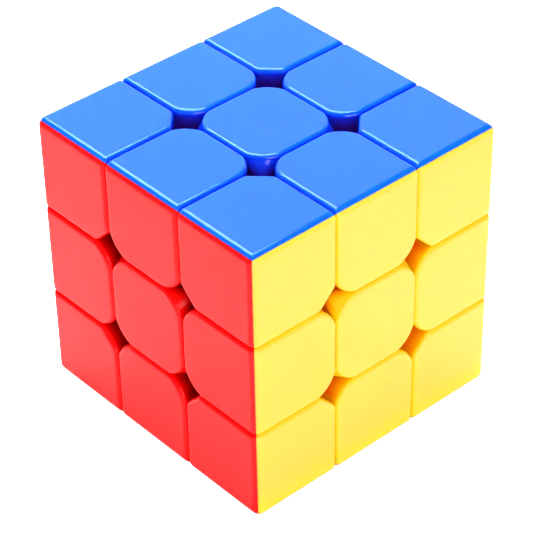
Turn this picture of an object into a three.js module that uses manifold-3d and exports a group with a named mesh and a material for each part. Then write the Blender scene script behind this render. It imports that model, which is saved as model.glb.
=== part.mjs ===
// A 3x3x3 twisty puzzle cube, 56 mm on a side, with the sprung mechanism inside it.
//
// Millimetres, +Z up, and the origin is the middle of the core.
// A six-armed core carries a screw and a spring on each arm. Each screw holds a centre base, which
// turns on it, and a coloured cap clips into the base. Edges and corners have feet that sit behind
// the centres. All feet lie inside a ball, all outer blocks lie outside it, and the feet have cut
// planes of their own, closer to the middle than those of the outer blocks. So any one layer turns
// freely past the other two.

import * as THREE from 'three';
import { mergeVertices } from 'three/addons/utils/BufferGeometryUtils.js';
import Module from 'manifold-3d';

const wasm = await Module();
wasm.setup();

// The outside
const SIDE = 56;
const HALF = SIDE / 2;
const LAYERS = 3;
const CUT = SIDE / LAYERS / 2; // from the middle to each cut plane
const HALF_GAP = 0.15; // each piece stands back this far from a cut plane
const GROOVE_ROUND = 0.95; // rounding beside the cut lines
const OUTER_ROUND = 1.5; // rounding along the twelve edges of the cube
const CHAMFER_LEG = 4.3; // straight cut across the inner corner of each corner tile
const ARC_LEG = 4.1; // curved cut across the inner corners of edge tiles and caps
const ARC_RADIUS = 6;
const CHAMFER_DEPTH = 12; // the straight cut stops here, so that the corner piece reaches its foot

// The mechanism
const BALL = 20; // radius that separates the feet from the outer blocks
const BALL_GAP = 0.3; // clearance on each side of that radius
const FOOT_CUT = 5.8; // from the middle to the cut planes of the feet
const FOOT_HALF_GAP = 0.2;
const FOOT_INSIDE = 13; // the feet stop at this radius
const NECK_TOP = 16; // the neck of an edge reaches this far out along both its axes
const HOLLOW = 0.8; // size of the hollow in a piece, as a share of the piece
const SHELL_PARTING = 0.15; // each half of an edge stands back this far from the joint
const OPENING_RADIUS = 2; // hole from the hollow of a corner piece through its foot

// Centre base and cap
const BASE_TOP = 24.5;
const CAP_BOTTOM = 24.9;
const BARREL_RADIUS = 5.3;
const BARREL_BORE = 3.9;
const BARREL_BOTTOM = 9.8;
const FLANGE_TOP = 12;
const FLANGE_BORE = 1.7;
const POCKET_SIDE = 11;
const POCKET_BOTTOM = 21;
const BOSS_SIDE = 10.4;
const BOSS_BOTTOM = 21.3;
const BOSS_WALL = 1.4;
const CAP_THICKNESS = 2;

// Core, screw and spring
const CORE_RADIUS = 7;
const ARM_RADIUS = 3.6;
const ARM_END = 9.5;
const ARM_BORE = 1.6;
const ARM_BORE_BOTTOM = 3.2;
const SHANK_RADIUS = 1.3;
const SCREW_TIP = 3.5;
const HEAD_RADIUS = 3.2;
const HEAD_BOTTOM = 18.8;
const HEAD_TOP = 20.8;
const HEAD_RIM = 0.6; // height that the domed top of the head falls by, from the middle to the rim
const RECESS_LENGTH = 3.6;
const RECESS_WIDTH = 0.9;
const RECESS_DEPTH = 1.2;
const SPRING_RADIUS = 2.4;
const WIRE_RADIUS = 0.4;
const SPRING_BOTTOM = 12.7;
const SPRING_TOP = 18.1;
const SPRING_TURNS = 4;

// Smoothness
const ROUND_STEPS = 1; // the small roundings
const ARC_STEPS = 3; // the curved cuts
const BALL_SEGMENTS = 20;
const CORE_SEGMENTS = 12;
const OPENING_SEGMENTS = 8;
const BORE_SEGMENTS = 16;
const SCREW_SEGMENTS = 12;
const WIRE_SIDES = 5;
const WIRE_STEPS_PER_TURN = 8;

const MARGIN = 1; // how far a cutter runs past the face it cuts
const QUARTER = Math.PI / 2;
const WELD = 1e-4;

const NEAR = CUT + HALF_GAP; // inner side of an outer piece
const MIDDLE = CUT - HALF_GAP; // side of a middle-layer piece
const FOOT_NEAR = FOOT_CUT + FOOT_HALF_GAP;
const FOOT_MIDDLE = FOOT_CUT - FOOT_HALF_GAP;
const FAR = SIDE; // beyond everything

const plastic = (name, color) => (
  new THREE.MeshStandardMaterial({ name, color, roughness: 0.35, metalness: 0 })
);
const COLOURS = {
  blue: plastic('blue plastic', 0x2878f0),
  green: plastic('green plastic', 0x18a84c),
  red: plastic('red plastic', 0xf03a40),
  orange: plastic('orange plastic', 0xff7a1c),
  yellow: plastic('yellow plastic', 0xffe23c),
  white: plastic('white plastic', 0xf2f3f0),
};
const CORE_PLASTIC = plastic('core plastic', 0x3a3d42);
const STEEL = new THREE.MeshStandardMaterial({
  name: 'steel', color: 0xb9bcc0, roughness: 0.3, metalness: 1,
});

const FACES = [
  { name: 'up', normal: new THREE.Vector3(0, 0, 1), material: COLOURS.blue },
  { name: 'down', normal: new THREE.Vector3(0, 0, -1), material: COLOURS.green },
  { name: 'front', normal: new THREE.Vector3(0, -1, 0), material: COLOURS.red },
  { name: 'back', normal: new THREE.Vector3(0, 1, 0), material: COLOURS.orange },
  { name: 'right', normal: new THREE.Vector3(1, 0, 0), material: COLOURS.yellow },
  { name: 'left', normal: new THREE.Vector3(-1, 0, 0), material: COLOURS.white },
];

// ---- From geometry to solid and back ----

function solid(geometry) {
  const bare = geometry.clone();
  bare.deleteAttribute('normal');
  bare.deleteAttribute('uv');
  const welded = mergeVertices(bare, WELD);
  const corners = welded.index.array;
  const kept = [];
  for (let i = 0; i < corners.length; i += 3) {
    const [a, b, c] = [corners[i], corners[i + 1], corners[i + 2]];
    if (a !== b && b !== c && c !== a) kept.push(a, b, c);
  }
  return new wasm.Manifold(new wasm.Mesh({
    numProp: 3,
    vertProperties: new Float32Array(welded.attributes.position.array),
    triVerts: new Uint32Array(kept),
  }));
}

function geometryOf(body) {
  const { vertProperties, triVerts } = body.getMesh();
  const geometry = new THREE.BufferGeometry();
  geometry.setAttribute('position', new THREE.BufferAttribute(vertProperties, 3));
  geometry.setIndex(new THREE.BufferAttribute(triVerts, 1));
  geometry.computeVertexNormals();
  return geometry;
}

const cutAll = (body, cutters) => cutters.reduce((left, cutter) => left.subtract(cutter), body);

// ---- Basic solids ----

function block(low, high) {
  const size = low.map((value, axis) => high[axis] - value);
  const middle = low.map((value, axis) => (high[axis] + value) / 2);
  return solid(new THREE.BoxGeometry(...size).translate(...middle));
}

function prism(shape, low, high) {
  const options = { depth: high - low, bevelEnabled: false, curveSegments: ROUND_STEPS };
  return new THREE.ExtrudeGeometry(shape, options).translate(0, 0, low);
}

function cylinder(radius, low, high, segments) {
  const geometry = new THREE.CylinderGeometry(radius, radius, high - low, segments);
  return solid(geometry.rotateX(QUARTER).translate(0, 0, (low + high) / 2));
}

// A ball whose corners touch the given radius, so that none of it lies beyond.
const ball = (radius, segments = BALL_SEGMENTS) => (
  solid(new THREE.SphereGeometry(radius, segments, segments / 2))
);

// A ball whose flats all lie outside the given radius, for cutting a clearance.
const ballCutter = (radius) => ball(radius / Math.cos(Math.PI / BALL_SEGMENTS) ** 2);

// Turns a shape drawn on the XY plane to face along +X, or along +Y, keeping the order of the axes.
const facingX = (geometry) => geometry.applyMatrix4(new THREE.Matrix4().makeBasis(
  new THREE.Vector3(0, 1, 0),
  new THREE.Vector3(0, 0, 1),
  new THREE.Vector3(1, 0, 0),
));
const facingY = (geometry) => facingX(facingX(geometry));

// ---- Outlines ----

// A rectangle with a rounding of its own at each corner: low-low, high-low, high-high, low-high.
function rectangle(x0, y0, x1, y1, rounds) {
  const [a, b, c, d] = rounds;
  const shape = new THREE.Shape();
  shape.moveTo(x0 + a, y0);
  shape.lineTo(x1 - b, y0);
  if (b) shape.absarc(x1 - b, y0 + b, b, -QUARTER, 0);
  shape.lineTo(x1, y1 - c);
  if (c) shape.absarc(x1 - c, y1 - c, c, 0, QUARTER);
  shape.lineTo(x0 + d, y1);
  if (d) shape.absarc(x0 + d, y1 - d, d, QUARTER, 2 * QUARTER);
  shape.lineTo(x0, y0 + a);
  if (a) shape.absarc(x0 + a, y0 + a, a, 2 * QUARTER, 3 * QUARTER);
  return shape;
}

// What is cut from a tile's inner corner at (x, y). The tile lies towards (sideX, sideY) of it.
// With a radius the cut is a convex arc, and without one it is straight.
function cornerCut(x, y, sideX, sideY, leg, radius) {
  const points = [[-MARGIN, -MARGIN], [leg, -MARGIN], [leg, 0]];
  if (radius) {
    const middle = (leg + Math.sqrt(2 * radius ** 2 - leg ** 2)) / 2;
    const start = Math.atan2(-middle, leg - middle);
    const end = Math.atan2(leg - middle, -middle);
    for (let i = 1; i < ARC_STEPS; i += 1) {
      const angle = start + ((end - start) * i) / ARC_STEPS;
      points.push([middle + radius * Math.cos(angle), middle + radius * Math.sin(angle)]);
    }
  }
  points.push([0, leg], [-MARGIN, leg]);
  return new THREE.Shape(points.map(([u, v]) => (
    new THREE.Vector2(x + sideX * u, y + sideY * v)
  )));
}

// ---- Corner piece, for the corner at +X +Y +Z ----

// The outside block, with or without its small roundings.
function cornerBlock(outer, groove) {
  const face = rectangle(NEAR, NEAR, HALF, HALF, [0, groove, outer, groove]);
  const turned = [(g) => g, facingX, facingY];
  const [first, second, third] = turned.map((turn) => solid(turn(prism(face, NEAR, HALF))));
  const cut = cornerCut(NEAR, NEAR, 1, 1, CHAMFER_LEG);
  return cutAll(
    first.intersect(second).intersect(third),
    turned.map((turn) => solid(turn(prism(cut, HALF - CHAMFER_DEPTH, HALF + MARGIN)))),
  );
}

function cornerPiece() {
  const middle = (NEAR + HALF) / 2;
  const hollow = cornerBlock(0, 0)
    .translate([-middle, -middle, -middle])
    .scale(HOLLOW)
    .translate([middle, middle, middle]);
  const foot = block([FOOT_NEAR, FOOT_NEAR, FOOT_NEAR], [BALL, BALL, BALL])
    .intersect(ball(BALL - BALL_GAP))
    .subtract(ballCutter(FOOT_INSIDE));
  const towardsMiddle = new THREE.Quaternion()
    .setFromUnitVectors(new THREE.Vector3(0, 0, 1), new THREE.Vector3(1, 1, 1).normalize());
  const length = middle * Math.sqrt(3);
  const bar = new THREE.CylinderGeometry(OPENING_RADIUS, OPENING_RADIUS, length, OPENING_SEGMENTS);
  const opening = solid(bar
    .rotateX(QUARTER)
    .translate(0, 0, length / 2)
    .applyQuaternion(towardsMiddle));
  return cornerBlock(OUTER_ROUND, GROOVE_ROUND).add(foot).subtract(hollow).subtract(opening);
}

// ---- Edge piece, for the edge at +X +Z, and its +Z half ----

function edgeBlock(outer, groove) {
  const side = rectangle(NEAR, NEAR, HALF, HALF, [0, groove, outer, groove]);
  const tile = rectangle(-MIDDLE, NEAR, MIDDLE, HALF, [0, 0, groove, groove]);
  const whole = solid(facingY(prism(side, -MIDDLE, MIDDLE)))
    .intersect(solid(facingX(prism(tile, NEAR, HALF))))
    .intersect(solid(prism(tile, NEAR, HALF).rotateZ(-QUARTER)));
  const cuts = [-1, 1].flatMap((way) => {
    const shape = cornerCut(way * MIDDLE, NEAR, -way, 1, ARC_LEG, ARC_RADIUS);
    const cut = prism(shape, CUT, HALF + MARGIN);
    return [solid(facingX(cut.clone())), solid(cut.clone().rotateZ(-QUARTER))];
  });
  return cutAll(whole, cuts);
}

function edgeHalf() {
  const middle = (NEAR + HALF) / 2;
  const hollow = edgeBlock(0, 0)
    .translate([-middle, 0, -middle])
    .scale(HOLLOW)
    .translate([middle, 0, middle])
    .subtract(ballCutter(BALL + (HALF - NEAR) * (1 - HOLLOW) / 2));
  const neck = block([NEAR, -FOOT_MIDDLE, NEAR], [NECK_TOP, FOOT_MIDDLE, NECK_TOP]);
  const foot = block([FOOT_NEAR, -FOOT_MIDDLE, FOOT_NEAR], [BALL, FOOT_MIDDLE, BALL])
    .intersect(ball(BALL - BALL_GAP))
    .subtract(ballCutter(FOOT_INSIDE));
  const whole = edgeBlock(OUTER_ROUND, GROOVE_ROUND)
    .subtract(ballCutter(BALL + BALL_GAP))
    .subtract(hollow)
    .add(neck)
    .add(foot);
  const parting = SHELL_PARTING * Math.SQRT2;
  const upper = new THREE.Shape([
    new THREE.Vector2(parting, 0),
    new THREE.Vector2(FAR, 0),
    new THREE.Vector2(FAR, FAR - parting),
  ]);
  return whole.intersect(solid(facingY(prism(upper, -FAR, FAR))));
}

// ---- Centre, for the face at +Z ----

function centreCorners() {
  const ways = [[1, 1], [-1, 1], [-1, -1], [1, -1]];
  return ways.map(([x, y]) => {
    const shape = cornerCut(x * MIDDLE, y * MIDDLE, -x, -y, ARC_LEG, ARC_RADIUS);
    return solid(prism(shape, CUT - MARGIN, HALF + MARGIN));
  });
}

function centreBase() {
  const outside = block([-MIDDLE, -MIDDLE, CUT], [MIDDLE, MIDDLE, BASE_TOP])
    .subtract(ballCutter(BALL + BALL_GAP));
  const barrel = cylinder(BARREL_RADIUS, BARREL_BOTTOM, BASE_TOP, BORE_SEGMENTS);
  const pocket = POCKET_SIDE / 2;
  return cutAll(outside, centreCorners())
    .add(barrel)
    .subtract(cylinder(BARREL_BORE, FLANGE_TOP, BASE_TOP + MARGIN, BORE_SEGMENTS))
    .subtract(cylinder(FLANGE_BORE, 0, BASE_TOP, SCREW_SEGMENTS))
    .subtract(block([-pocket, -pocket, POCKET_BOTTOM], [pocket, pocket, BASE_TOP + MARGIN]));
}

function centreCap() {
  const profile = rectangle(
    -MIDDLE, CAP_BOTTOM, MIDDLE, HALF, [0, 0, GROOVE_ROUND, GROOVE_ROUND],
  );
  const tile = solid(facingX(prism(profile, -MIDDLE, MIDDLE)))
    .intersect(solid(facingX(prism(profile, -MIDDLE, MIDDLE)).rotateZ(QUARTER)));
  const boss = BOSS_SIDE / 2;
  const inside = boss - BOSS_WALL;
  return cutAll(tile, centreCorners())
    .add(block([-boss, -boss, BOSS_BOTTOM], [boss, boss, CAP_BOTTOM + MARGIN]))
    .subtract(block([-inside, -inside, 0], [inside, inside, HALF - CAP_THICKNESS]));
}

// ---- Screw and spring, for the arm along +Z ----

function screw() {
  const profile = [
    [0, SCREW_TIP],
    [SHANK_RADIUS / 2, SCREW_TIP],
    [SHANK_RADIUS, SCREW_TIP + SHANK_RADIUS],
    [SHANK_RADIUS, HEAD_BOTTOM],
    [HEAD_RADIUS, HEAD_BOTTOM],
    [HEAD_RADIUS, HEAD_TOP - HEAD_RIM],
    [HEAD_RADIUS / 2, HEAD_TOP],
    [0, HEAD_TOP],
  ].map(([radius, height]) => new THREE.Vector2(radius, height));
  const turned = solid(new THREE.LatheGeometry(profile, SCREW_SEGMENTS).rotateX(QUARTER));
  const [long, wide] = [RECESS_LENGTH / 2, RECESS_WIDTH / 2];
  const floor = HEAD_TOP - RECESS_DEPTH;
  return turned
    .subtract(block([-long, -wide, floor], [long, wide, HEAD_TOP + MARGIN]))
    .subtract(block([-wide, -long, floor], [wide, long, HEAD_TOP + MARGIN]));
}

class Helix extends THREE.Curve {
  getPoint(t, target = new THREE.Vector3()) {
    const angle = t * SPRING_TURNS * 2 * Math.PI;
    const height = THREE.MathUtils.lerp(SPRING_BOTTOM, SPRING_TOP, t);
    return target.set(
      SPRING_RADIUS * Math.cos(angle),
      SPRING_RADIUS * Math.sin(angle),
      height,
    );
  }
}

function spring() {
  const wire = new THREE.Shape();
  for (let i = 0; i < WIRE_SIDES; i += 1) {
    const angle = (i / WIRE_SIDES) * 2 * Math.PI;
    const point = [WIRE_RADIUS * Math.cos(angle), WIRE_RADIUS * Math.sin(angle)];
    if (i) wire.lineTo(...point);
    else wire.moveTo(...point);
  }
  return solid(new THREE.ExtrudeGeometry(wire, {
    steps: SPRING_TURNS * WIRE_STEPS_PER_TURN,
    extrudePath: new Helix(),
  }));
}

// ---- Core ----

function core() {
  const turnTo = (body, normal) => {
    const turn = new THREE.Matrix4().makeRotationFromQuaternion(
      new THREE.Quaternion().setFromUnitVectors(new THREE.Vector3(0, 0, 1), normal),
    );
    return body.transform(turn.elements);
  };
  const arm = cylinder(ARM_RADIUS, 0, ARM_END, SCREW_SEGMENTS);
  const bore = cylinder(ARM_BORE, ARM_BORE_BOTTOM, ARM_END + MARGIN, SCREW_SEGMENTS);
  const middle = ball(CORE_RADIUS, CORE_SEGMENTS);
  const arms = FACES.map(({ normal }) => turnTo(arm, normal));
  const bores = FACES.map(({ normal }) => turnTo(bore, normal));
  return cutAll(arms.reduce((all, one) => all.add(one), middle), bores);
}

// ---- The whole cube ----

const shapes = {
  corner: geometryOf(cornerPiece()),
  edgeHalf: geometryOf(edgeHalf()),
  base: geometryOf(centreBase()),
  cap: geometryOf(centreCap()),
  screw: geometryOf(screw()),
  spring: geometryOf(spring()),
};

function addPiece(parent, name, geometry, material, turn = 0) {
  const mesh = new THREE.Mesh(geometry, material);
  mesh.name = name;
  mesh.rotation.z = turn * QUARTER;
  parent.add(mesh);
}

// The faces that a piece touches, in one fixed order, as the middle of its name.
const joined = (names) => (
  FACES.map(({ name }) => name).filter((name) => names.includes(name)).join('_')
);

const cube = new THREE.Group();
addPiece(cube, 'core', geometryOf(core()), CORE_PLASTIC);

for (const face of FACES) {
  const group = new THREE.Group();
  group.quaternion.setFromUnitVectors(new THREE.Vector3(0, 0, 1), face.normal);
  cube.add(group);
  addPiece(group, `screw_${face.name}`, shapes.screw, STEEL);
  addPiece(group, `spring_${face.name}`, shapes.spring, STEEL);
  addPiece(group, `centre_base_${face.name}`, shapes.base, face.material);
  addPiece(group, `centre_cap_${face.name}`, shapes.cap, face.material);

  // The neighbour of this face that a quarter turn count points at.
  const neighbour = (turn) => {
    const way = new THREE.Vector3(Math.cos(turn * QUARTER), Math.sin(turn * QUARTER), 0);
    way.applyQuaternion(group.quaternion);
    return FACES.find(({ normal }) => normal.dot(way) > 0.9).name;
  };
  for (let turn = 0; turn < 4; turn += 1) {
    const edge = joined([face.name, neighbour(turn)]);
    addPiece(group, `edge_${edge}_half_${face.name}`, shapes.edgeHalf, face.material, turn);
    if (face.name === 'up' || face.name === 'down') {
      const corner = joined([face.name, neighbour(turn), neighbour(turn + 1)]);
      addPiece(group, `corner_${corner}`, shapes.corner, face.material, turn);
    }
  }
}

export default cube;
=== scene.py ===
"""Looks of the twisty puzzle cube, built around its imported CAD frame.

Every shape is built once, for the face that looks up (+Z), and is then turned to its places. Shapes
are worked out in millimetres and scaled to metres when they become pieces.
"""

import math

import bmesh
import bpy
from mathutils import Matrix, Quaternion, Vector


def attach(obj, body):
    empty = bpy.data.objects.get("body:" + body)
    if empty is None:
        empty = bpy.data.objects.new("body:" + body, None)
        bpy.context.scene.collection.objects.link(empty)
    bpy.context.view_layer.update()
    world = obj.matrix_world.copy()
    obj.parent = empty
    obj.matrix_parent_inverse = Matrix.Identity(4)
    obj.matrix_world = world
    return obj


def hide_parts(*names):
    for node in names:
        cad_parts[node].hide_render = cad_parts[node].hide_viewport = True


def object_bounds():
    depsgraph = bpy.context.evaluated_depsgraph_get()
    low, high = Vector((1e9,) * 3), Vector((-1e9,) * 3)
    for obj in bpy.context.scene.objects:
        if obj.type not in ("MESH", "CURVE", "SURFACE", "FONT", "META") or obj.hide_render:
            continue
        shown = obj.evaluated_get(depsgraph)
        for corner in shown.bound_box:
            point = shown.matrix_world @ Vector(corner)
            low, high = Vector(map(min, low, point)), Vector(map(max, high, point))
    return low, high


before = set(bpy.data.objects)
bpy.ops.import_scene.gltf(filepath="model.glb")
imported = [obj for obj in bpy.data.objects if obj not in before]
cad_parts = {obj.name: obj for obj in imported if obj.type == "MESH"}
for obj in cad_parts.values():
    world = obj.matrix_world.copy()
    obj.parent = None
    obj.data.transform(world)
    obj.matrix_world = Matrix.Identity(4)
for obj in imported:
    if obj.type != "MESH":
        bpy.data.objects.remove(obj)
cad_low, cad_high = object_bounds()

MM = 0.001
SIDE = (cad_high.x - cad_low.x) / MM
HALF = SIDE / 2
CUT = SIDE / 6  # from the middle to each cut plane
HALF_GAP = 0.05
NEAR = CUT + HALF_GAP  # where the outer layers begin
MIDDLE = CUT - HALF_GAP  # where the middle layer ends

# The outside
GROOVE_ROUND = 0.95  # rounding beside the cut lines
OUTER_ROUND = 1.5  # rounding along the cube's twelve edges
ROUND_SEGMENTS = 8
SHOULDER = 1.7  # exponent of the outer rounding: 2 is an arc, and less is tighter at its two ends
CHAMFER_LEG = 4.3
CHAMFER_SOFT = 1.5  # radius where the chamfer runs into the sides
ARC_RADIUS = 6.4
ARC_SOFT = 1.45
ARC_SOFT_TURN = math.radians(20)
WALL = 1.6
PARTING = 0.03  # each coloured shell stands back this far from the joint
SHELL_BOTTOM = 14  # a corner's shells end here, where its foot begins
SOFT = 0.4  # rounding of the parts inside
SOFT_SEGMENTS = 4
PAST = 5  # how far the cutter of a hollow runs past the faces that it leaves open
MARGIN = 1  # how far other cutters run past the face they cut

# The feet, as in the CAD
BALL = 20  # radius that separates the feet from the outer blocks
BALL_GAP = 0.3
BALL_SEGMENTS = 96
FOOT_NEAR = 6
FOOT_MIDDLE = 5.6
FOOT_INSIDE = 13
STEM_TOP = 20
SEAT = 0.1  # clearance of a corner's foot in its shells
PLUG = 6  # side of the block that fills a corner's shells

# The centre
CAP_BOTTOM = 24.9
CAP_ROUND = 0.8
CAP_THICKNESS = 2
SINK_RADIUS = 4  # faint hollow in the middle of the cap, over its boss
SINK_DEPTH = 0.08
SKIRT = 2.9  # depth of the cap's sides; its four corners reach deeper
SKIRT_ROUND = 0.8
SKIRT_STEPS = 6
FLARE = 0.5  # the cap's corners lean out into the holes, to this share of their cut
BOSS_SIDE = 10.4
BOSS_BOTTOM = 21.3
BOSS_HOLLOW_SIDE = 7.6
BASE_TOP = 24.6
BASE_ROUND = 0.5
BASE_INSET = 0.15
LEDGE = 0.5  # the base's corners reach further out, as a ledge below the cap's
BARREL_RADIUS = 5.3
BARREL_BOTTOM = 9.8
BARREL_TOP = 22.5
BARREL_BORE = 3.9
FLANGE_TOP = 12
FLANGE_BORE = 1.7
POCKET_SIDE = 11
POCKET_BOTTOM = 21
POCKET_TOP = 25

# Core, screw, spring and washer
CORE_RADIUS = 7
CORE_SEGMENTS = 64
ARM_RADIUS = 3.6
ARM_END = 9.5
ARM_BORE = 1.6
ARM_BORE_BOTTOM = 3.2
ARM_BORE_TOP = 11
ARM_SEGMENTS = 48
SCREW_ROUND = 0.25
TIP_RADIUS = 0.6
TIP_BOTTOM = 3.5
TIP_TOP = 4.6
SHANK_RADIUS = 1.3
HEAD_RADIUS = 3.2
HEAD_BOTTOM = 18.8
HEAD_RIM = 20.1
HEAD_TOP = 20.8
DOME_RADIUS = 1.6
DOME_DROP = 0.05  # the head's top falls by this much at the dome radius
RECESS_LENGTH = 3.6
RECESS_WIDTH = 0.84
RECESS_BOTTOM = 19.5
RECESS_TOP = 22
RECESS_TAPER = 0.55  # length of the recess at its bottom, as a share of that at its top
SPRING_TURNS = 4
SPRING_RADIUS = 2.4
SPRING_BOTTOM = 12.5
SPRING_TOP = 17.9
WIRE_RADIUS = 0.36
WIRE_SIDES = 12
WIRE_STEPS_PER_TURN = 40
WASHER_RADIUS = 3.1
WASHER_BORE = 1.5
WASHER_BOTTOM = 18.3
WASHER_TOP = 18.75
WASHER_ROUND = 0.15

# Meshes
CUT_TOLERANCE = 1e-5
WELD = 1e-4
CREASE = math.radians(32)  # faces that meet at more than this look crisp
SAME_WAY = 0.9  # two directions count as the same when their cosine is above this

FACES = {
    "up": (Vector((0, 0, 1)), "blue"),
    "down": (Vector((0, 0, -1)), "green"),
    "front": (Vector((0, -1, 0)), "red"),
    "back": (Vector((0, 1, 0)), "orange"),
    "right": (Vector((1, 0, 0)), "yellow"),
    "left": (Vector((-1, 0, 0)), "white"),
}

# Tags of a solid's faces
OUTSIDE, SIDE_WALL, INNER = 1, 2, 3

UP = Vector((0, 0, 1))


# ---- Solids, in millimetres ----


def box(low, high, tags=None):
    """A box; tags gives its faces' tags by direction, such as {(0, 0, 1): OUTSIDE}."""
    low, high = Vector(low), Vector(high)
    solid = bmesh.new()
    bmesh.ops.create_cube(solid, size=1)
    bmesh.ops.scale(solid, vec=high - low, verts=solid.verts)
    bmesh.ops.translate(solid, vec=(low + high) / 2, verts=solid.verts)
    layer = solid.faces.layers.int.new("tag")
    solid.normal_update()
    for face in solid.faces:
        way = tuple(round(x) for x in face.normal)
        face[layer] = (tags or {}).get(way, INNER)
    return solid


def cut(solid, point, normal, tag=INNER):
    """Cuts off what lies on the normal's side of the plane and closes the cut."""
    everything = solid.verts[:] + solid.edges[:] + solid.faces[:]
    made = bmesh.ops.bisect_plane(
        solid, geom=everything, dist=CUT_TOLERANCE, plane_co=point, plane_no=normal, clear_outer=True
    )
    rim = [g for g in made["geom_cut"] if isinstance(g, bmesh.types.BMEdge)]
    open_rim = [e for e in rim if e.is_boundary]
    if open_rim:
        layer = solid.faces.layers.int.get("tag")
        for face in bmesh.ops.holes_fill(solid, edges=open_rim, sides=0)["faces"]:
            face[layer] = tag


def corner_curve(leg=None, soft=CHAMFER_SOFT, turn=math.pi / 4, radius=None, steps=4):
    """Points across a right-angled corner, from the first side to the second, as seen from it.

    Both ends bend with the soft radius through the turn. Between them is an arc, or a straight
    line that makes the curve start at the leg from the corner.
    """
    bends = [(soft, turn, steps)]
    if radius:
        bends.append((radius, math.pi / 2 - 2 * turn, 2 * steps))
    bends.append((soft, turn, steps))
    heading, place, points = 0.0, Vector((0, 0)), [Vector((0, 0))]
    for number, (bend, angle, count) in enumerate(bends):
        if number == 1 and not radius:
            straight = (leg - soft) / math.sin(math.pi / 4)
            place = place + straight * Vector((-math.cos(heading), math.sin(heading)))
            points.append(place.copy())
        for _ in range(count):
            heading += angle / count / 2
            chord = 2 * bend * math.sin(angle / count / 2)
            place = place + chord * Vector((-math.cos(heading), math.sin(heading)))
            heading += angle / count / 2
            points.append(place.copy())
    start = Vector((-place.x, 0))
    return [start + p for p in points]


def cut_corner(solid, x, y, way_x, way_y, curve, inset=0.0):
    """Cuts a vertical edge of a solid, at (x, y), along a curve from corner_curve."""
    for a, b in zip(curve, curve[1:]):
        along = (b - a).normalized()
        outward = Vector((-along.y, along.x))
        if outward.dot(Vector((-1, -1))) < 0:
            outward = -outward
        middle = (a + b) / 2 - outward * inset
        point = Vector((x + way_x * middle.x, y + way_y * middle.y, 0))
        cut(solid, point, Vector((way_x * outward.x, way_y * outward.y, 0)), SIDE_WALL)


def to_mesh(solid, name="solid"):
    """The solid as a mesh; the solid is used up."""
    mesh = bpy.data.meshes.new(name)
    solid.to_mesh(mesh)
    solid.free()
    return mesh


def to_solid(mesh):
    """The mesh as a solid; the mesh is used up."""
    solid = bmesh.new()
    solid.from_mesh(mesh)
    bpy.data.meshes.remove(mesh)
    return solid


def baked(mesh, kind, settings):
    """The mesh after a modifier of this kind; the mesh itself is used up."""
    holder = bpy.data.objects.new("holder", mesh)
    bpy.context.scene.collection.objects.link(holder)
    modifier = holder.modifiers.new(kind, kind)
    for key, value in settings.items():
        setattr(modifier, key, value)
    graph = bpy.context.evaluated_depsgraph_get()
    result = bpy.data.meshes.new_from_object(holder.evaluated_get(graph))
    bpy.data.objects.remove(holder)
    bpy.data.meshes.remove(mesh)
    return result


def rounded(solid, radius_of, segments=ROUND_SEGMENTS):
    """Rounds each edge by radius_of(tags of its two faces); it stays sharp where that gives 0."""
    layer = solid.faces.layers.int.get("tag")
    weight = solid.edges.layers.float.new("bevel_weight_edge")
    widest = 2.0
    solid.normal_update()
    for edge in solid.edges:
        tags = tuple(sorted(face[layer] for face in edge.link_faces))
        edge[weight] = radius_of(tags) / widest
    settings = {
        "limit_method": "WEIGHT", "offset_type": "OFFSET", "width": widest,
        "segments": segments, "profile": 0.5, "use_clamp_overlap": False,
    }
    return to_solid(baked(to_mesh(solid), "BEVEL", settings))


def soft_box(low, high):
    return rounded(box(low, high), lambda tags: SOFT, SOFT_SEGMENTS)


def combined(first, operation, second):
    """A boolean of two solids, which are both used up."""
    other = bpy.data.objects.new("other", to_mesh(second))
    bpy.context.scene.collection.objects.link(other)
    other.hide_render = True
    settings = {"operation": operation, "solver": "EXACT", "object": other}
    result = to_solid(baked(to_mesh(first), "BOOLEAN", settings))
    mesh = other.data
    bpy.data.objects.remove(other)
    bpy.data.meshes.remove(mesh)
    if not result.faces:
        raise ValueError(f"the {operation} left nothing")
    return result


def ball(radius, segments=BALL_SEGMENTS):
    solid = bmesh.new()
    bmesh.ops.create_uvsphere(
        solid, u_segments=segments, v_segments=segments // 2, radius=radius
    )
    solid.faces.layers.int.new("tag")
    return solid


def turned(profile, segments=64):
    """A solid turned about +Z from (radius, height) points that start and end on the axis."""
    solid = bmesh.new()
    rings = []
    for radius, height in profile:
        if radius == 0:
            rings.append([solid.verts.new((0, 0, height))])
            continue
        ring = []
        for i in range(segments):
            angle = 2 * math.pi * i / segments
            ring.append(solid.verts.new(
                (radius * math.cos(angle), radius * math.sin(angle), height)
            ))
        rings.append(ring)
    for lower, upper in zip(rings, rings[1:]):
        for i in range(segments):
            j = (i + 1) % segments
            if len(lower) == 1:
                solid.faces.new((lower[0], upper[j], upper[i]))
            elif len(upper) == 1:
                solid.faces.new((lower[i], lower[j], upper[0]))
            else:
                solid.faces.new((lower[i], lower[j], upper[j], upper[i]))
    bmesh.ops.recalc_face_normals(solid, faces=solid.faces)
    solid.faces.layers.int.new("tag")
    return solid


def rounded_profile(points, radius, steps=4):
    """A profile with each point between its ends rounded, by less where its lines are short."""
    most = 0.45  # of the shorter line
    result = [Vector(points[0])]
    for before, here, after in zip(points, points[1:], points[2:]):
        before, here, after = Vector(before), Vector(here), Vector(after)
        reach = min(radius, most * (here - before).length, most * (after - here).length)
        start = here + (before - here).normalized() * reach
        end = here + (after - here).normalized() * reach
        for i in range(steps + 1):
            t = i / steps
            result.append(start * (1 - t) ** 2 + here * 2 * t * (1 - t) + end * t ** 2)
    result.append(Vector(points[-1]))
    return result


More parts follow.
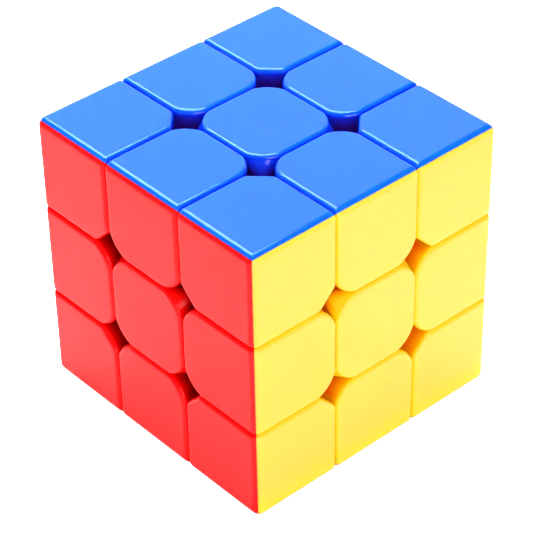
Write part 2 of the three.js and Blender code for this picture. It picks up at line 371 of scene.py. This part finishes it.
def bar(radius, low, high, soft=0.0, segments=64):
    """An upright round bar, whose rims have the soft radius."""
    profile = [(0, low), (radius, low), (radius, high), (0, high)]
    return turned(rounded_profile(profile, soft) if soft else profile, segments)


def rotated(solid, matrix):
    bmesh.ops.rotate(solid, cent=(0, 0, 0), matrix=matrix, verts=solid.verts)
    return solid


# ---- Corner piece, for the corner at +X +Y +Z ----


CHAMFER = corner_curve(leg=CHAMFER_LEG)
ARC = corner_curve(soft=ARC_SOFT, turn=ARC_SOFT_TURN, radius=ARC_RADIUS, steps=3)


def outside_radius(tags):
    if tags == (OUTSIDE, OUTSIDE):
        return OUTER_ROUND
    if tags == (OUTSIDE, SIDE_WALL):
        return GROOVE_ROUND
    return 0


def flattened(solid):
    """Turns the outer roundings from arcs to superellipses, which bend most beside the flats."""
    start = HALF - OUTER_ROUND
    for vert in solid.verts:
        beyond = [max(value - start, 0) for value in vert.co]
        if sum(value > 0 for value in beyond) < 2:
            continue
        arc = math.sqrt(sum(value ** 2 for value in beyond))
        curve = sum(value ** SHOULDER for value in beyond) ** (1 / SHOULDER)
        for axis in range(3):
            if beyond[axis] > 0:
                vert.co[axis] = start + beyond[axis] * arc / curve
    return solid


def corner_shell():
    tags = {(0, 0, 1): OUTSIDE, (1, 0, 0): OUTSIDE, (0, 1, 0): OUTSIDE,
            (-1, 0, 0): SIDE_WALL, (0, -1, 0): SIDE_WALL}
    solid = box((NEAR, NEAR, NEAR), (HALF, HALF, HALF), tags)
    cut_corner(solid, NEAR, NEAR, 1, 1, CHAMFER)
    solid = flattened(rounded(solid, outside_radius))
    apex = Vector((HALF, HALF, HALF - PARTING))
    cut(solid, apex, Vector((1, 0, -1)).normalized())
    cut(solid, apex, Vector((0, 1, -1)).normalized())
    cut(solid, Vector((0, 0, SHELL_BOTTOM)), Vector((0, 0, -1)))
    far = HALF + PAST
    hollow = box((NEAR + WALL, NEAR + WALL, 0), (far, far, HALF - WALL))
    cut_corner(hollow, NEAR, NEAR, 1, 1, CHAMFER, WALL)
    return combined(solid, "DIFFERENCE", hollow)


def corner_foot():
    lug = box((FOOT_NEAR,) * 3, (BALL,) * 3)
    lug = combined(lug, "INTERSECT", ball(BALL - BALL_GAP))
    lug = combined(lug, "DIFFERENCE", ball(FOOT_INSIDE))
    stem = soft_box((NEAR,) * 3, (SHELL_BOTTOM - SEAT,) * 3)
    inside = NEAR + WALL + SEAT
    plug = soft_box((inside,) * 3, (inside + PLUG,) * 3)
    return combined(combined(lug, "UNION", stem), "UNION", plug)


# ---- Edge piece, for the edge at +X +Z: its upper half ----


def edge_shell():
    tags = {(0, 0, 1): OUTSIDE, (1, 0, 0): OUTSIDE,
            (-1, 0, 0): SIDE_WALL, (0, 1, 0): SIDE_WALL, (0, -1, 0): SIDE_WALL}
    solid = box((NEAR, -MIDDLE, NEAR), (HALF, MIDDLE, HALF), tags)
    for way in (1, -1):
        cut_corner(solid, NEAR, way * MIDDLE, 1, -way, ARC)
    solid = flattened(rounded(solid, outside_radius))
    far = HALF + PAST
    hollow = box((NEAR + WALL, WALL - MIDDLE, 0), (far, MIDDLE - WALL, HALF - WALL))
    for way in (1, -1):
        cut_corner(hollow, NEAR, way * MIDDLE, 1, -way, ARC, WALL)
    solid = combined(solid, "DIFFERENCE", hollow)
    solid = combined(solid, "DIFFERENCE", ball(BALL + BALL_GAP))
    neck = box((NEAR, -FOOT_MIDDLE, NEAR), (STEM_TOP, FOOT_MIDDLE, STEM_TOP))
    foot = box((FOOT_NEAR, -FOOT_MIDDLE, FOOT_NEAR), (BALL, FOOT_MIDDLE, BALL))
    foot = combined(foot, "INTERSECT", ball(BALL - BALL_GAP))
    foot = combined(foot, "DIFFERENCE", ball(FOOT_INSIDE))
    solid = combined(solid, "UNION", combined(neck, "UNION", foot))
    if not solid.faces.layers.int.get("tag"):
        solid.faces.layers.int.new("tag")
    cut(solid, Vector((HALF, 0, HALF - PARTING)), Vector((1, 0, -1)).normalized())
    return solid


# ---- Centre, for the face at +Z ----


def octagon(half_side, low, high, inset=0.0, curve=ARC):
    """A square block with its four upright edges cut, and its sides moved in by the inset."""
    tags = {(0, 0, 1): OUTSIDE}
    for way in ((1, 0, 0), (-1, 0, 0), (0, 1, 0), (0, -1, 0)):
        tags[way] = SIDE_WALL
    solid = box((inset - half_side, inset - half_side, low),
                (half_side - inset, half_side - inset, high), tags)
    for way_x in (1, -1):
        for way_y in (1, -1):
            x, y = way_x * half_side, way_y * half_side
            cut_corner(solid, x, y, -way_x, -way_y, curve, inset)
    return solid


def outline(radius):
    """Rounds only round the outside face."""
    return lambda tags: radius if tags == (OUTSIDE, SIDE_WALL) else 0


def lean_out(tile):
    """Moves the lower ends of the cap's corner cuts outwards."""
    for vert in tile.verts:
        if vert.co.z > (CAP_BOTTOM + HALF) / 2:
            continue
        for axis in (0, 1):
            side = math.copysign(MIDDLE, vert.co[axis])
            vert.co[axis] = side + (vert.co[axis] - side) * FLARE


def trim_skirts(tile):
    """Rounds the bottom of the cap's four sides, which makes them shallower than its corners."""
    for way in (Vector((1, 0, 0)), Vector((-1, 0, 0)), Vector((0, 1, 0)), Vector((0, -1, 0))):
        centre = way * (MIDDLE - SKIRT_ROUND) + UP * (HALF - SKIRT)
        for step in range(SKIRT_STEPS):
            angle = (step + 0.5) / SKIRT_STEPS * math.pi / 2
            outward = way * math.cos(angle) - UP * math.sin(angle)
            cut(tile, centre + outward * SKIRT_ROUND, outward)


def sink():
    """A shallow bowl. It ends above the tile, so that its rim isn't in the tile's face."""
    shares = (0, 0.2, 0.4, 0.6, 0.8, 0.95, 1.1)
    bowl = [(SINK_RADIUS * share, HALF - SINK_DEPTH * (1 - share ** 2)) for share in shares]
    above = HALF + MARGIN
    return turned([*bowl, (bowl[-1][0], above), (0, above)])


def centre_cap():
    tile = rounded(octagon(MIDDLE, CAP_BOTTOM, HALF), outline(CAP_ROUND))
    lean_out(tile)
    trim_skirts(tile)
    tile = combined(tile, "DIFFERENCE", sink())
    outer, inner = BOSS_SIDE / 2, BOSS_HOLLOW_SIDE / 2
    boss = soft_box((-outer, -outer, BOSS_BOTTOM), (outer, outer, CAP_BOTTOM + MARGIN))
    hollow = box((-inner, -inner, BOSS_BOTTOM - MARGIN), (inner, inner, HALF - CAP_THICKNESS))
    return combined(combined(tile, "UNION", boss), "DIFFERENCE", hollow)


def centre_base():
    curve = [point * LEDGE for point in ARC]
    block = octagon(MIDDLE, CUT, BASE_TOP, BASE_INSET, curve)
    block = rounded(block, outline(BASE_ROUND), SOFT_SEGMENTS)
    block = combined(block, "DIFFERENCE", ball(BALL + BALL_GAP))
    barrel = bar(BARREL_RADIUS, BARREL_BOTTOM, BARREL_TOP, SOFT)
    bore = bar(BARREL_BORE, FLANGE_TOP, POCKET_TOP)
    hole = bar(FLANGE_BORE, BARREL_BOTTOM - MARGIN, FLANGE_TOP + MARGIN)
    side = POCKET_SIDE / 2
    pocket = soft_box((-side, -side, POCKET_BOTTOM), (side, side, POCKET_TOP))
    base = combined(block, "UNION", barrel)
    for cutter in (bore, hole, pocket):
        base = combined(base, "DIFFERENCE", cutter)
    return base


# ---- Core, screw, spring and washer, for the arm along +Z ----


def core():
    body = ball(CORE_RADIUS, CORE_SEGMENTS)
    turns = [UP.rotation_difference(way).to_matrix() for way, _ in FACES.values()]
    for turn in turns:
        arm = bar(ARM_RADIUS, 0, ARM_END, SOFT, ARM_SEGMENTS)
        body = combined(body, "UNION", rotated(arm, turn))
    for turn in turns:
        bore = bar(ARM_BORE, ARM_BORE_BOTTOM, ARM_BORE_TOP, segments=ARM_SEGMENTS)
        body = combined(body, "DIFFERENCE", rotated(bore, turn))
    return body


def screw():
    profile = [(0, TIP_BOTTOM), (TIP_RADIUS, TIP_BOTTOM), (SHANK_RADIUS, TIP_TOP),
               (SHANK_RADIUS, HEAD_BOTTOM), (HEAD_RADIUS, HEAD_BOTTOM), (HEAD_RADIUS, HEAD_RIM),
               (DOME_RADIUS, HEAD_TOP - DOME_DROP), (0, HEAD_TOP)]
    body = turned(rounded_profile(profile, SCREW_ROUND))
    length, width = RECESS_LENGTH / 2, RECESS_WIDTH / 2
    for angle in (0, math.pi / 2):
        slot = box((-length, -width, RECESS_BOTTOM), (length, width, RECESS_TOP))
        for vert in slot.verts:
            if vert.co.z < HEAD_TOP:
                vert.co.x *= RECESS_TAPER
        slot = rotated(slot, Matrix.Rotation(angle, 3, "Z"))
        body = combined(body, "DIFFERENCE", slot)
    return body


def spring():
    solid = bmesh.new()
    rings = []
    count = SPRING_TURNS * WIRE_STEPS_PER_TURN
    for step in range(count + 1):
        share = step / count
        angle = 2 * math.pi * SPRING_TURNS * share
        out = Vector((math.cos(angle), math.sin(angle), 0))
        height = SPRING_BOTTOM + (SPRING_TOP - SPRING_BOTTOM) * share
        centre = out * SPRING_RADIUS + UP * height
        ring = []
        for side in range(WIRE_SIDES):
            phase = 2 * math.pi * side / WIRE_SIDES
            offset = (out * math.cos(phase) + UP * math.sin(phase)) * WIRE_RADIUS
            ring.append(solid.verts.new(centre + offset))
        rings.append(ring)
    for before, after in zip(rings, rings[1:]):
        for i in range(WIRE_SIDES):
            j = (i + 1) % WIRE_SIDES
            solid.faces.new((before[i], before[j], after[j], after[i]))
    solid.faces.new(rings[0])
    solid.faces.new(rings[-1])
    bmesh.ops.recalc_face_normals(solid, faces=solid.faces)
    return solid


def washer():
    solid = bar(WASHER_RADIUS, WASHER_BOTTOM, WASHER_TOP, WASHER_ROUND)
    bore = bar(WASHER_BORE, WASHER_BOTTOM - MARGIN, WASHER_TOP + MARGIN)
    return combined(solid, "DIFFERENCE", bore)


# ---- Materials ----


FLOW = 90  # scale of the faint variation from the flow of the melt
FLOW_DETAIL = 3
FLOW_SHADE = 0.95
FLOW_GLOSS = 0.02
NOOK = 8  # reach that tells a hole from open ground, in millimetres, for the painted shade and glow in holes
SLIT = 1.2  # reach that tells a narrow slit from a hole, for the painted shade and glow
SLIT_LIFT = 0.3  # a slit counts as this much more open than its nook, so its painted shade stays lighter
DARKEST_SHADE_AT, DEEP_SHADE_AT = 0.18, 0.5  # openness where the two painted shade colours are reached
SURFACE_FROM, SURFACE_TO = 0.4, 0.95  # openness from which the surface colour comes in over the painted shade, and is full
OPENNESS_SAMPLES = 8
GRAIN = 5200
GRAIN_STRENGTH = 0.05
GRAIN_DEPTH = 0.02  # in millimetres
SUBSURFACE = 0.7
TURNING = 3000  # scale of the marks on turned steel
TURNING_GLOSS = (0.8, 1.3)


def node_material(name):
    material = bpy.data.materials.new(name)
    material.use_nodes = True
    return material, material.node_tree, material.node_tree.nodes["Principled BSDF"]


def feed(tree, value, socket):
    """Gives an input socket a value, or links an output to it."""
    if isinstance(value, bpy.types.NodeSocket):
        tree.links.new(value, socket)
    else:
        socket.default_value = value


def mixed(tree, share, first, second, kind="FLOAT"):
    """From first at a share of 0 to second at 1."""
    node = tree.nodes.new("ShaderNodeMix")
    node.data_type = kind
    for key, value in (("Factor", share), ("A", first), ("B", second)):
        feed(tree, value, node.inputs[key])
    return node.outputs["Result"]


def computed(tree, operation, *values):
    node = tree.nodes.new("ShaderNodeMath")
    node.operation = operation
    for value, socket in zip(values, node.inputs):
        feed(tree, value, socket)
    return node.outputs["Value"]


def mapped(tree, value, source, target):
    """The value moved from the source range to the target range."""
    node = tree.nodes.new("ShaderNodeMapRange")
    for key, limit in zip(("From Min", "From Max", "To Min", "To Max"), (*source, *target)):
        node.inputs[key].default_value = limit
    feed(tree, value, node.inputs["Value"])
    return node.outputs["Result"]


def noise(tree, place, scale, detail=2):
    node = tree.nodes.new("ShaderNodeTexNoise")
    node.inputs["Scale"].default_value = scale
    node.inputs["Detail"].default_value = detail
    feed(tree, place, node.inputs["Vector"])
    return node.outputs["Fac"]


def openness(tree, reach):
    """The share of the surroundings within the reach that is open."""
    node = tree.nodes.new("ShaderNodeAmbientOcclusion")
    node.inputs["Distance"].default_value = reach * MM
    node.samples = OPENNESS_SAMPLES
    return node.outputs["AO"]


def ramp(tree, share, *stops):
    """A colour by the share, from stops of (share, colour)."""
    node = tree.nodes.new("ShaderNodeValToRGB")
    for element, (position, color) in zip(node.color_ramp.elements, stops):
        element.position, element.color = position, (*color, 1)
    feed(tree, share, node.inputs["Fac"])
    return node.outputs["Color"]


def place_on_piece(tree):
    """Places on a piece, shifted by a number of its own so that no two pieces look the same."""
    place = tree.nodes.new("ShaderNodeTexCoord")
    piece = tree.nodes.new("ShaderNodeObjectInfo")
    shift = tree.nodes.new("ShaderNodeVectorMath")
    shift.operation = "ADD"
    tree.links.new(place.outputs["Object"], shift.inputs[0])
    tree.links.new(piece.outputs["Random"], shift.inputs[1])
    return shift.outputs["Vector"]


def grainy(tree, place):
    """A normal with the fine grain of a moulded surface."""
    bump = tree.nodes.new("ShaderNodeBump")
    bump.inputs["Strength"].default_value = GRAIN_STRENGTH
    bump.inputs["Distance"].default_value = GRAIN_DEPTH * MM
    tree.links.new(noise(tree, place, GRAIN), bump.inputs["Height"])
    return bump.outputs["Normal"]


def moulded_plastic(name, color, deep_shade, darkest_shade, glow, painted_glow, roughness=0.13, specular=0.5):
    """Injection-moulded plastic: faint flow variation in colour and gloss, and a fine grain.

    In the holes, where light only arrives from wall to wall, its colour is painted shade: the less
    is open round it, the more it turns to the first shade colour and then to the second, while
    narrow slits keep the first. There it also has a painted glow in that shade colour, by the share
    given after the glow, in place of light that comes through the plastic. The glow is how far each
    colour of light travels under the surface, in millimetres.
    """
    material, tree, shader = node_material(name)
    place = place_on_piece(tree)
    flow = noise(tree, place, FLOW, FLOW_DETAIL)
    shade = [FLOW_SHADE * part for part in color]
    surface = mixed(tree, flow, (*color, 1), (*shade, 1), "RGBA")
    # how open each point is at the two reaches; these decide where shade and glow are painted
    nook, slit = openness(tree, NOOK), openness(tree, SLIT)
    lifted = computed(tree, "ADD", nook, computed(tree, "MULTIPLY_ADD", slit, -SLIT_LIFT, SLIT_LIFT))
    # painted shade: the colour in holes and slits, set by how open they are
    inner = ramp(tree, lifted, (DARKEST_SHADE_AT, darkest_shade), (DEEP_SHADE_AT, deep_shade))
    outside = mapped(tree, nook, (SURFACE_FROM, SURFACE_TO), (0, 1))
    # painted glow: strongest where the painted shade has fully replaced the surface colour
    painted_glow_share = computed(tree, "MULTIPLY_ADD", outside, -painted_glow, painted_glow)
    gloss = mapped(tree, flow, (0, 1), (roughness - FLOW_GLOSS, roughness + FLOW_GLOSS))
    looks = {
        # the base colour holds the painted shade in holes, and the emission below is the painted
        # glow there
        "Base Color": mixed(tree, outside, inner, surface, "RGBA"),
        "Emission Color": inner,
        "Emission Strength": computed(tree, "MULTIPLY", painted_glow_share, slit),
        "Roughness": gloss,
        "Normal": grainy(tree, place),
        "Specular IOR Level": specular,
        "Subsurface Weight": SUBSURFACE,
        "Subsurface Radius": glow,
        "Subsurface Scale": MM,
    }
    for key, value in looks.items():
        feed(tree, value, shader.inputs[key])
    return material


def steel(name, color, roughness):
    """Steel with fine turning marks in its gloss."""
    material, tree, shader = node_material(name)
    place = tree.nodes.new("ShaderNodeTexCoord")
    marks = noise(tree, place.outputs["Object"], TURNING)
    gloss = mapped(tree, marks, (0, 1), [roughness * share for share in TURNING_GLOSS])
    tree.links.new(gloss, shader.inputs["Roughness"])
    shader.inputs["Base Color"].default_value = (*color, 1)
    shader.inputs["Metallic"].default_value = 1
    return material


# in each plastic, here and in the core's below, the two colours after the surface colour are painted
# shade for its holes and slits, and the share after the glow radii sets a painted glow there
PLASTICS = {
    "blue": moulded_plastic(
        "blue_plastic", color=(0.0, 0.1, 0.85), deep_shade=(0.0, 0.02, 0.6), darkest_shade=(0.02, 0.0, 0.05),
        glow=(0.1, 0.3, 1.0), painted_glow=0.4,
    ),
    "green": moulded_plastic(
        "green_plastic", color=(0.01, 0.38, 0.06), deep_shade=(0.0, 0.25, 0.02),
        darkest_shade=(0.0, 0.06, 0.01), glow=(0.2, 1.2, 0.3), painted_glow=0.15,
    ),
    "red": moulded_plastic(
        "red_plastic", color=(0.96, 0.006, 0.008), deep_shade=(1.0, 0.0, 0.0), darkest_shade=(0.08, 0.0, 0.0),
        glow=(2.0, 0.3, 0.3), painted_glow=0.15, specular=0.178,
    ),
    "orange": moulded_plastic(
        "orange_plastic", color=(0.94, 0.10, 0.0), deep_shade=(0.95, 0.06, 0.0),
        darkest_shade=(0.3, 0.01, 0.0), glow=(2.0, 0.6, 0.2), painted_glow=0.25,
    ),
    "yellow": moulded_plastic(
        "yellow_plastic", color=(0.96, 0.615, 0.06), deep_shade=(0.9, 0.6, 0.0),
        darkest_shade=(0.6, 0.045, 0.0), glow=(2.5, 1.0, 0.2), painted_glow=0.35,
    ),
    "white": moulded_plastic(
        "white_plastic", color=(0.5, 0.5, 0.5), deep_shade=(0.45, 0.45, 0.45),
        darkest_shade=(0.25, 0.25, 0.25), glow=(1, 1, 1), painted_glow=0.1,
    ),
}
DARK = moulded_plastic(
    "core_plastic", color=(0.03, 0.031, 0.034), deep_shade=(0.02, 0.02, 0.02),
    darkest_shade=(0.01, 0.01, 0.01), glow=(0.1, 0.1, 0.1), painted_glow=0, roughness=0.4,
)
SCREW = steel("screw_steel", color=(0.56, 0.57, 0.59), roughness=0.3)
SPRING = steel("spring_steel", color=(0.62, 0.62, 0.63), roughness=0.25)


# ---- Pieces ----


def shape_mesh(solid, name):
    """A shape's final mesh in metres, smooth where it bends gently and crisp elsewhere."""
    bmesh.ops.remove_doubles(solid, verts=solid.verts, dist=WELD)
    bmesh.ops.scale(solid, vec=(MM, MM, MM), verts=solid.verts)
    mesh = to_mesh(solid, name)
    mesh.shade_smooth()
    mesh.set_sharp_from_angle(angle=CREASE)
    weights = {"mode": "FACE_AREA", "weight": 100, "keep_sharp": True}
    mesh = baked(mesh, "WEIGHTED_NORMAL", weights)
    mesh.name = name
    for attribute in [a.name for a in mesh.attributes if a.name in ("tag", "bevel_weight_edge")]:
        mesh.attributes.remove(mesh.attributes[attribute])
    return mesh


def add_piece(name, mesh, turn, material, body, slot, *nodes):
    """A piece that rides on the body and stands in for the CAD nodes, if any."""
    mesh = mesh.copy()
    mesh.materials.clear()
    mesh.materials.append(material)
    piece = bpy.data.objects.new(name, mesh)
    bpy.context.scene.collection.objects.link(piece)
    piece.matrix_world = turn.to_matrix().to_4x4()
    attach(piece, body)
    if nodes:
        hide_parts(*nodes)


def joined(names):
    """The names of faces as one name, in the order of FACES, which the bodies' names follow."""
    return "_".join(name for name in FACES if name in names)


shapes = {
    name: shape_mesh(solid, name) for name, solid in {
        "corner_shell": corner_shell(),
        "corner_foot": corner_foot(),
        "edge_shell": edge_shell(),
        "cap": centre_cap(),
        "base": centre_base(),
        "screw": screw(),
        "spring": spring(),
        "washer": washer(),
        "core": core(),
    }.items()
}

add_piece("core_spider", shapes["core"], Quaternion(), DARK, "core", "core_plastic", "core")
for face, (normal, color) in FACES.items():
    towards = UP.rotation_difference(normal)
    plastic, slot = PLASTICS[color], f"{color}_plastic"
    add_piece(f"tension_screw_{face}", shapes["screw"], towards, SCREW, "core",
              "screw_steel", f"screw_{face}")
    add_piece(f"tension_spring_{face}", shapes["spring"], towards, SPRING, "core",
              "spring_steel", f"spring_{face}")
    add_piece(f"slip_washer_{face}", shapes["washer"], towards, DARK, "core", "core_plastic")
    add_piece(f"base_{face}", shapes["base"], towards, plastic, f"centre_{face}", slot,
              f"centre_base_{face}")
    add_piece(f"cap_{face}", shapes["cap"], towards, plastic, f"cap_{face}", slot,
              f"centre_cap_{face}")
    for turn in range(4):
        spin = towards @ Quaternion(UP, turn * math.pi / 2)
        ways = [spin @ Vector((1, 0, 0)), spin @ Vector((0, 1, 0))]
        beside = [
            next(name for name, (way, _) in FACES.items() if way.dot(there) > SAME_WAY)
            for there in ways
        ]
        edge = f"edge_{joined([face, beside[0]])}"
        add_piece(f"{edge}_shell_{face}", shapes["edge_shell"], spin, plastic, edge, slot,
                  f"{edge}_half_{face}")
        corner = f"corner_{joined([face, *beside])}"
        add_piece(f"{corner}_shell_{face}", shapes["corner_shell"], spin, plastic, corner, slot,
                  corner)
        if face in ("up", "down"):
            add_piece(f"{corner}_foot", shapes["corner_foot"], spin, DARK, corner,
                      "core_plastic", corner)


# ---- Stage, light and camera ----


def add_light(name, place, target, size, color, power, lit=True, mirrored=True):
    """A rectangular soft light that the camera doesn't see.

    It lights the surfaces, and is mirrored in them, unless told otherwise.
    """
    data = bpy.data.lights.new(name, "AREA")
    data.shape = "RECTANGLE"
    data.size, data.size_y = size
    data.color = color
    data.energy = power
    light = bpy.data.objects.new(name, data)
    bpy.context.scene.collection.objects.link(light)
    place, target = Vector(place), Vector(target)
    light.location = place
    light.rotation_mode = "QUATERNION"
    light.rotation_quaternion = (target - place).to_track_quat("-Z", "Y")
    light.visible_camera = False
    light.visible_diffuse = lit
    light.visible_glossy = mirrored


def by_ray(tree, seen, mirrored, otherwise):
    """A strength for rays from the camera, for rays from reflections and for all others."""
    ray = tree.nodes.new("ShaderNodeLightPath")
    unseen = mixed(tree, ray.outputs["Is Glossy Ray"], otherwise, mirrored)
    return mixed(tree, ray.outputs["Is Camera Ray"], unseen, seen)


def add_floor():
    """White paper, lit from within as well, so that the cube's shadow on it stays faint."""
    mesh = bpy.data.meshes.new("floor")
    reach = 3.0
    low = cad_low.z
    corners = [(-reach, -reach, low), (reach, -reach, low), (reach, reach, low),
               (-reach, reach, low)]
    mesh.from_pydata(corners, [], [(0, 1, 2, 3)])
    floor = bpy.data.objects.new("floor", mesh)
    bpy.context.scene.collection.objects.link(floor)
    material, tree, shader = node_material("floor_paper")
    shader.inputs["Base Color"].default_value = (0.6, 0.6, 0.6, 1)
    shader.inputs["Emission Color"].default_value = (1, 1, 1, 1)
    shader.inputs["Roughness"].default_value = 0.9
    strength = by_ray(tree, seen=1.0, mirrored=0.25, otherwise=0.5)
    tree.links.new(strength, shader.inputs["Emission Strength"])
    mesh.materials.append(material)


def add_world():
    """Even light all round; reflections see a dark room with a bright wall behind the cube."""
    wall_way = (-0.755, 0.656, 0)
    wall_begins, wall_is_full = 0.60, 0.75  # cosines with the wall's way
    room, wall = 0.12, 1.2
    world = bpy.data.worlds.new("studio")
    bpy.context.scene.world = world
    world.use_nodes = True
    tree = world.node_tree
    place = tree.nodes.new("ShaderNodeTexCoord")
    along = tree.nodes.new("ShaderNodeVectorMath")
    along.operation = "DOT_PRODUCT"
    along.inputs[1].default_value = wall_way
    tree.links.new(place.outputs["Generated"], along.inputs[0])
    surroundings = mapped(
        tree, along.outputs["Value"], (wall_begins, wall_is_full), (room, wall)
    )
    background = tree.nodes["Background"]
    strength = by_ray(tree, seen=1.0, mirrored=surroundings, otherwise=0.68)
    tree.links.new(strength, background.inputs["Strength"])
    background.inputs["Color"].default_value = (1, 1, 1, 1)


def add_camera():
    """The camera looks from the front right corner, from above, with a long lens."""
    azimuth, elevation, roll = math.radians(48.81), math.radians(37.43), math.radians(-1.18)
    distance = 0.4
    shift_x, shift_y = 0.000239, 0.002674  # of the cube's middle from the middle of the picture
    lens_widths = 4.2195  # focal length, in widths of the picture
    back = Vector((
        math.sin(azimuth) * math.cos(elevation),
        -math.cos(azimuth) * math.cos(elevation),
        math.sin(elevation),
    ))
    across = UP.cross(back).normalized()
    upward = back.cross(across)
    right = across * math.cos(roll) + upward * math.sin(roll)
    top = upward * math.cos(roll) - across * math.sin(roll)
    data = bpy.data.cameras.new("camera")
    data.sensor_width = 36
    data.lens = lens_widths * data.sensor_width
    data.clip_start, data.clip_end = 0.01, 20
    camera = bpy.data.objects.new("camera", data)
    bpy.context.scene.collection.objects.link(camera)
    place = back * distance - right * shift_x - top * shift_y
    axes = Matrix((right, top, back)).transposed()
    camera.matrix_world = Matrix.Translation(place) @ axes.to_4x4()
    bpy.context.scene.camera = camera


add_floor()
add_world()
softbox_size = (0.34, 0.22)
below_softbox = (-0.15, 0.05, 0)
add_light("softbox_above", place=(-0.15, 0.05, 0.328), target=below_softbox, size=softbox_size,
          color=(0.9, 1, 1), power=3.4, mirrored=False)
add_light("softbox_mirrored", place=(-0.15, 0.05, 0.32), target=below_softbox, size=softbox_size,
          color=(0.57, 1, 1), power=2.8, lit=False)
add_light("fill_right", place=(0.9, -0.35, 0.35), target=(0, 0, 0), size=(0.6, 0.6),
          color=(1, 1, 1), power=4.5)
add_camera()
bpy.context.scene.view_settings.view_transform = "Standard"
